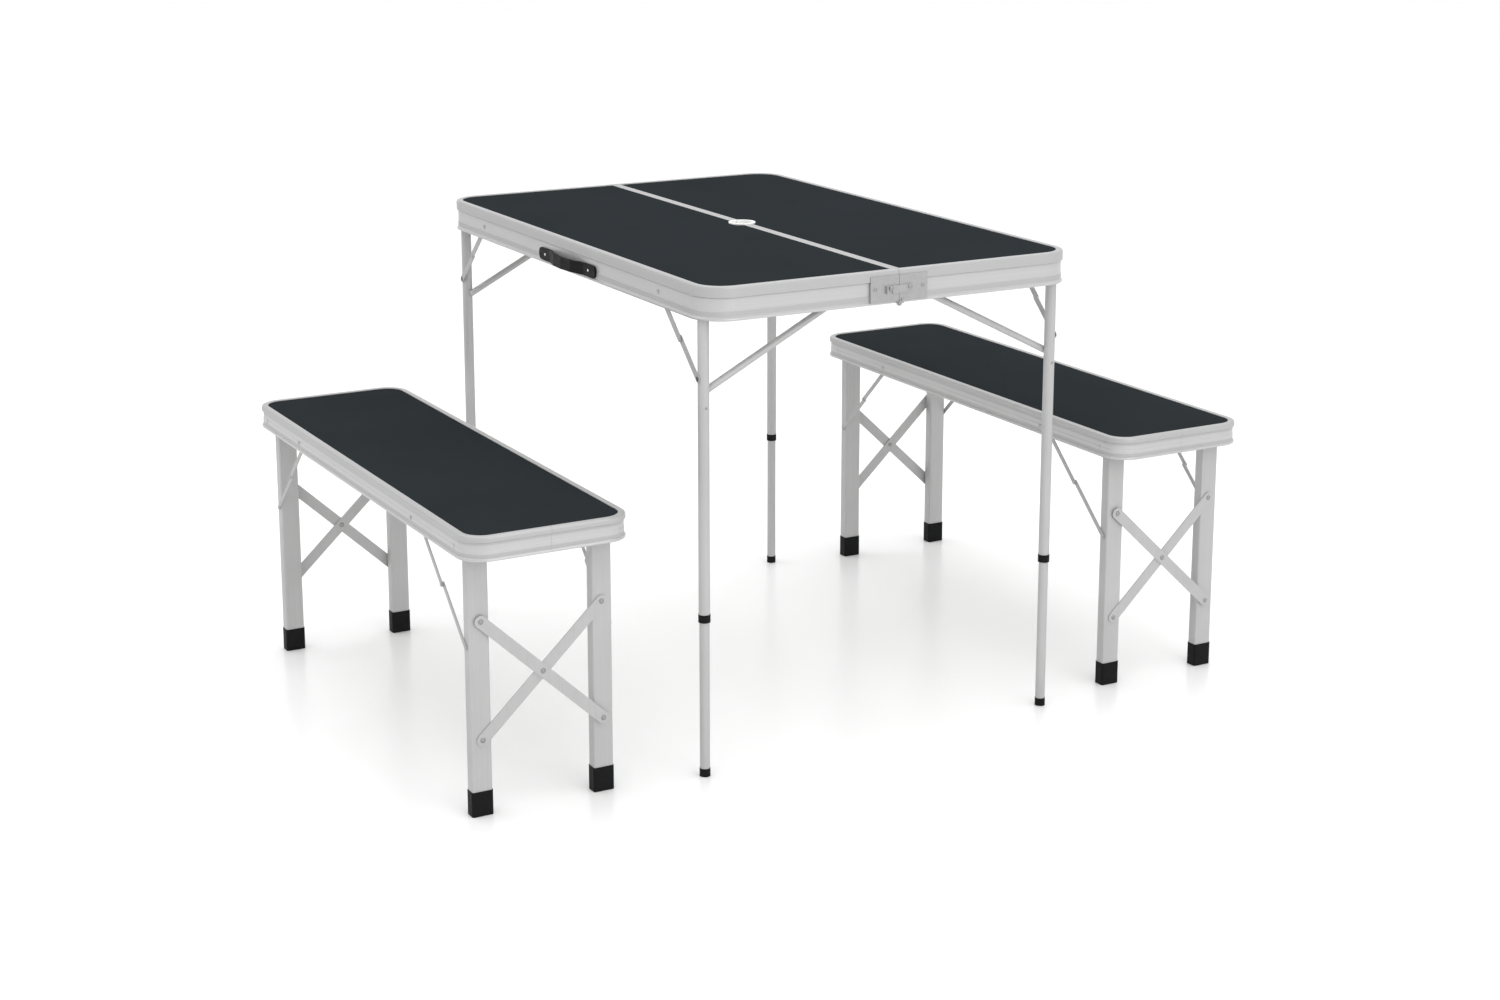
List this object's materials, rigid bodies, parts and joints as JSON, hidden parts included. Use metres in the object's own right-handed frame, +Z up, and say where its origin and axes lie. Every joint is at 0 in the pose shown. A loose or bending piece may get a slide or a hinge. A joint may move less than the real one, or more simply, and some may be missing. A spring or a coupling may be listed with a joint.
{
  "type": "folding picnic table",
  "caption": "Folding table in two hinged halves with fold-away telescopic legs, an umbrella hole and a carrying strap, with a pair of low folding benches.",
  "frame": {"origin": "on the floor, under the middle of the table", "axes": "+X along the seam between the two halves, +Y from the handle side towards the rear bench, +Z up"},
  "size_m": [0.9118, 1.294, 0.7036],
  "materials": {
    "laminate": "dark grey melamine laminate on fibreboard, fine texture, satin",
    "rim_aluminium": "bright anodised extrusion, fine lengthwise grain",
    "tube_aluminium": "satin anodised tube",
    "plated_steel": "zinc-plated pressed steel",
    "black_plastic": "moulded, fine texture",
    "cup_plastic": "moulded, off-white"
  },
  "bodies": {
    "front_half": {"front_rim": "rim_aluminium", "front_seam_rail": "rim_aluminium", "front_panel": "laminate", "front_end_plates": "plated_steel", "front_leg_brackets": "plated_steel", "front_umbrella_cup": "cup_plastic", "hinge_pins": "plated_steel", "carry_handle": "black_plastic"},
    "rear_half": {"rear_rim": "rim_aluminium", "rear_seam_rail": "rim_aluminium", "rear_panel": "laminate", "rear_end_plates": "plated_steel", "rear_leg_brackets": "plated_steel", "rear_umbrella_cup": "cup_plastic"},
    "right_hook": {"right_hook": "plated_steel"},
    "left_hook": {"left_hook": "plated_steel"},
    "front_right_leg": {"front_right_leg_frame": "tube_aluminium", "front_right_leg_collar": "black_plastic"},
    "front_right_extension": {"front_right_leg_extension": "tube_aluminium", "front_right_leg_foot": "black_plastic"},
    "front_right_rail_link": {"front_right_stay_rail_link": "plated_steel"},
    "front_right_leg_link": {"front_right_stay_leg_link": "plated_steel"},
    "front_left_leg": {"front_left_leg_frame": "tube_aluminium", "front_left_leg_collar": "black_plastic"},
    "front_left_extension": {"front_left_leg_extension": "tube_aluminium", "front_left_leg_foot": "black_plastic"},
    "front_left_rail_link": {"front_left_stay_rail_link": "plated_steel"},
    "front_left_leg_link": {"front_left_stay_leg_link": "plated_steel"},
    "rear_right_leg": {"rear_right_leg_frame": "tube_aluminium", "rear_right_leg_collar": "black_plastic"},
    "rear_right_extension": {"rear_right_leg_extension": "tube_aluminium", "rear_right_leg_foot": "black_plastic"},
    "rear_right_rail_link": {"rear_right_stay_rail_link": "plated_steel"},
    "rear_right_leg_link": {"rear_right_stay_leg_link": "plated_steel"},
    "rear_left_leg": {"rear_left_leg_frame": "tube_aluminium", "rear_left_leg_collar": "black_plastic"},
    "rear_left_extension": {"rear_left_leg_extension": "tube_aluminium", "rear_left_leg_foot": "black_plastic"},
    "rear_left_rail_link": {"rear_left_stay_rail_link": "plated_steel"},
    "rear_left_leg_link": {"rear_left_stay_leg_link": "plated_steel"},
    "front_bench": {"front_bench_rim": "rim_aluminium", "front_bench_panel": "laminate"},
    "front_bench_right_legs": {"front_bench_right_leg_frame": "tube_aluminium", "front_bench_right_feet": "black_plastic"},
    "front_bench_right_rail_links": {"front_bench_right_stay_rail_links": "plated_steel"},
    "front_bench_right_leg_links": {"front_bench_right_stay_leg_links": "plated_steel"},
    "front_bench_left_legs": {"front_bench_left_leg_frame": "tube_aluminium", "front_bench_left_feet": "black_plastic"},
    "front_bench_left_rail_links": {"front_bench_left_stay_rail_links": "plated_steel"},
    "front_bench_left_leg_links": {"front_bench_left_stay_leg_links": "plated_steel"},
    "rear_bench": {"rear_bench_rim": "rim_aluminium", "rear_bench_panel": "laminate"},
    "rear_bench_right_legs": {"rear_bench_right_leg_frame": "tube_aluminium", "rear_bench_right_feet": "black_plastic"},
    "rear_bench_right_rail_links": {"rear_bench_right_stay_rail_links": "plated_steel"},
    "rear_bench_right_leg_links": {"rear_bench_right_stay_leg_links": "plated_steel"},
    "rear_bench_left_legs": {"rear_bench_left_leg_frame": "tube_aluminium", "rear_bench_left_feet": "black_plastic"},
    "rear_bench_left_rail_links": {"rear_bench_left_stay_rail_links": "plated_steel"},
    "rear_bench_left_leg_links": {"rear_bench_left_stay_leg_links": "plated_steel"}
  },
  "joints": [
    {"name": "case_fold", "type": "hinge", "parent": "front_half", "child": "rear_half", "pos_m": [0, 0, 0.655], "axis": [-1, 0, 0], "range_deg": [0, 44]},
    {"name": "right_hook_lift", "type": "hinge", "parent": "rear_half", "child": "right_hook", "pos_m": [0.4522, 0.0172, 0.6775], "axis": [-1, 0, 0], "range_deg": [0, 100]},
    {"name": "left_hook_lift", "type": "hinge", "parent": "rear_half", "child": "left_hook", "pos_m": [-0.4522, 0.0172, 0.6775], "axis": [-1, 0, 0], "range_deg": [0, 100]},
    {"name": "front_right_leg_fold", "type": "hinge", "parent": "front_half", "child": "front_right_leg", "pos_m": [0.412, -0.2874, 0.668], "axis": [0, 1, 0], "range_deg": [0, 91.8]},
    {"name": "front_right_leg_telescope", "type": "slide", "parent": "front_right_leg", "child": "front_right_extension", "axis": [0, 0, 1], "range_m": [0, 0.21]},
    {"name": "front_right_rail_link_turn", "type": "hinge", "parent": "front_half", "child": "front_right_rail_link", "pos_m": [0.304, -0.2968, 0.6754], "axis": [0, -1, 0], "range_deg": [0, 42.6]},
    {"name": "front_right_leg_link_turn", "type": "hinge", "parent": "front_right_leg", "child": "front_right_leg_link", "pos_m": [0.412, -0.2968, 0.5725], "axis": [0, 1, 0], "range_deg": [0, 42.2]},
    {"name": "front_left_leg_fold", "type": "hinge", "parent": "front_half", "child": "front_left_leg", "pos_m": [-0.412, -0.2874, 0.668], "axis": [0, -1, 0], "range_deg": [0, 89.3]},
    {"name": "front_left_leg_telescope", "type": "slide", "parent": "front_left_leg", "child": "front_left_extension", "axis": [0, 0, 1], "range_m": [0, 0.21]},
    {"name": "front_left_rail_link_turn", "type": "hinge", "parent": "front_half", "child": "front_left_rail_link", "pos_m": [-0.304, -0.2968, 0.6754], "axis": [0, 1, 0], "range_deg": [0, 40.5]},
    {"name": "front_left_leg_link_turn", "type": "hinge", "parent": "front_left_leg", "child": "front_left_leg_link", "pos_m": [-0.412, -0.2968, 0.5725], "axis": [0, -1, 0], "range_deg": [0, 43.6]},
    {"name": "rear_right_leg_fold", "type": "hinge", "parent": "rear_half", "child": "rear_right_leg", "pos_m": [0.412, 0.2874, 0.668], "axis": [0, 1, 0], "range_deg": [0, 91.8]},
    {"name": "rear_right_leg_telescope", "type": "slide", "parent": "rear_right_leg", "child": "rear_right_extension", "axis": [0, 0, 1], "range_m": [0, 0.21]},
    {"name": "rear_right_rail_link_turn", "type": "hinge", "parent": "rear_half", "child": "rear_right_rail_link", "pos_m": [0.304, 0.2968, 0.6754], "axis": [0, -1, 0], "range_deg": [0, 42.6]},
    {"name": "rear_right_leg_link_turn", "type": "hinge", "parent": "rear_right_leg", "child": "rear_right_leg_link", "pos_m": [0.412, 0.2968, 0.5725], "axis": [0, 1, 0], "range_deg": [0, 42.2]},
    {"name": "rear_left_leg_fold", "type": "hinge", "parent": "rear_half", "child": "rear_left_leg", "pos_m": [-0.412, 0.2874, 0.668], "axis": [0, -1, 0], "range_deg": [0, 89.3]},
    {"name": "rear_left_leg_telescope", "type": "slide", "parent": "rear_left_leg", "child": "rear_left_extension", "axis": [0, 0, 1], "range_m": [0, 0.21]},
    {"name": "rear_left_rail_link_turn", "type": "hinge", "parent": "rear_half", "child": "rear_left_rail_link", "pos_m": [-0.304, 0.2968, 0.6754], "axis": [0, 1, 0], "range_deg": [0, 40.5]},
    {"name": "rear_left_leg_link_turn", "type": "hinge", "parent": "rear_left_leg", "child": "rear_left_leg_link", "pos_m": [-0.412, 0.2968, 0.5725], "axis": [0, -1, 0], "range_deg": [0, 43.6]},
    {"name": "front_bench_slide", "type": "slide", "parent": "front_half", "child": "front_bench", "axis": [0, -1, 0], "range_m": [-0.09, 0.2]},
    {"name": "front_bench_right_leg_fold", "type": "hinge", "parent": "front_bench", "child": "front_bench_right_legs", "pos_m": [0.383, -0.525, 0.381], "axis": [0, 1, 0], "range_deg": [0, 90]},
    {"name": "front_bench_right_rail_links_turn", "type": "hinge", "parent": "front_bench", "child": "front_bench_right_rail_links", "pos_m": [0.231, -0.525, 0.381], "axis": [0, -1, 0], "range_deg": [0, 43.2]},
    {"name": "front_bench_right_leg_links_turn", "type": "hinge", "parent": "front_bench_right_legs", "child": "front_bench_right_leg_links", "pos_m": [0.383, -0.525, 0.2385], "axis": [0, 1, 0], "range_deg": [0, 46.9]},
    {"name": "front_bench_left_leg_fold", "type": "hinge", "parent": "front_bench", "child": "front_bench_left_legs", "pos_m": [-0.383, -0.525, 0.381], "axis": [0, -1, 0], "range_deg": [0, 90]},
    {"name": "front_bench_left_rail_links_turn", "type": "hinge", "parent": "front_bench", "child": "front_bench_left_rail_links", "pos_m": [-0.231, -0.525, 0.381], "axis": [0, 1, 0], "range_deg": [0, 43.2]},
    {"name": "front_bench_left_leg_links_turn", "type": "hinge", "parent": "front_bench_left_legs", "child": "front_bench_left_leg_links", "pos_m": [-0.383, -0.525, 0.2385], "axis": [0, -1, 0], "range_deg": [0, 46.9]},
    {"name": "rear_bench_slide", "type": "slide", "parent": "front_half", "child": "rear_bench", "axis": [0, 1, 0], "range_m": [-0.09, 0.2]},
    {"name": "rear_bench_right_leg_fold", "type": "hinge", "parent": "rear_bench", "child": "rear_bench_right_legs", "pos_m": [0.383, 0.525, 0.381], "axis": [0, 1, 0], "range_deg": [0, 90]},
    {"name": "rear_bench_right_rail_links_turn", "type": "hinge", "parent": "rear_bench", "child": "rear_bench_right_rail_links", "pos_m": [0.231, 0.525, 0.381], "axis": [0, -1, 0], "range_deg": [0, 43.2]},
    {"name": "rear_bench_right_leg_links_turn", "type": "hinge", "parent": "rear_bench_right_legs", "child": "rear_bench_right_leg_links", "pos_m": [0.383, 0.525, 0.2385], "axis": [0, 1, 0], "range_deg": [0, 46.9]},
    {"name": "rear_bench_left_leg_fold", "type": "hinge", "parent": "rear_bench", "child": "rear_bench_left_legs", "pos_m": [-0.383, 0.525, 0.381], "axis": [0, -1, 0], "range_deg": [0, 90]},
    {"name": "rear_bench_left_rail_links_turn", "type": "hinge", "parent": "rear_bench", "child": "rear_bench_left_rail_links", "pos_m": [-0.231, 0.525, 0.381], "axis": [0, 1, 0], "range_deg": [0, 43.2]},
    {"name": "rear_bench_left_leg_links_turn", "type": "hinge", "parent": "rear_bench_left_legs", "child": "rear_bench_left_leg_links", "pos_m": [-0.383, 0.525, 0.2385], "axis": [0, -1, 0], "range_deg": [0, 46.9]}
  ],
  "couplings": [
    {"joint": "right_hook_lift", "follows": "case_fold", "ratio": 2.2705},
    {"joint": "left_hook_lift", "follows": "case_fold", "ratio": 2.2705},
    {"joint": "front_right_rail_link_turn", "follows": "front_right_leg_fold", "ratio": 0.4635},
    {"joint": "front_right_leg_link_turn", "follows": "front_right_leg_fold", "ratio": 0.4593},
    {"joint": "front_left_rail_link_turn", "follows": "front_left_leg_fold", "ratio": 0.4535},
    {"joint": "front_left_leg_link_turn", "follows": "front_left_leg_fold", "ratio": 0.4881},
    {"joint": "rear_right_rail_link_turn", "follows": "rear_right_leg_fold", "ratio": 0.4635},
    {"joint": "rear_right_leg_link_turn", "follows": "rear_right_leg_fold", "ratio": 0.4593},
    {"joint": "rear_left_rail_link_turn", "follows": "rear_left_leg_fold", "ratio": 0.4535},
    {"joint": "rear_left_leg_link_turn", "follows": "rear_left_leg_fold", "ratio": 0.4881},
    {"joint": "front_bench_right_rail_links_turn", "follows": "front_bench_right_leg_fold", "ratio": 0.4795},
    {"joint": "front_bench_right_leg_links_turn", "follows": "front_bench_right_leg_fold", "ratio": 0.5205},
    {"joint": "front_bench_left_rail_links_turn", "follows": "front_bench_left_leg_fold", "ratio": 0.4795},
    {"joint": "front_bench_left_leg_links_turn", "follows": "front_bench_left_leg_fold", "ratio": 0.5205},
    {"joint": "rear_bench_right_rail_links_turn", "follows": "rear_bench_right_leg_fold", "ratio": 0.4795},
    {"joint": "rear_bench_right_leg_links_turn", "follows": "rear_bench_right_leg_fold", "ratio": 0.5205},
    {"joint": "rear_bench_left_rail_links_turn", "follows": "rear_bench_left_leg_fold", "ratio": 0.4795},
    {"joint": "rear_bench_left_leg_links_turn", "follows": "rear_bench_left_leg_fold", "ratio": 0.5205}
  ]
}
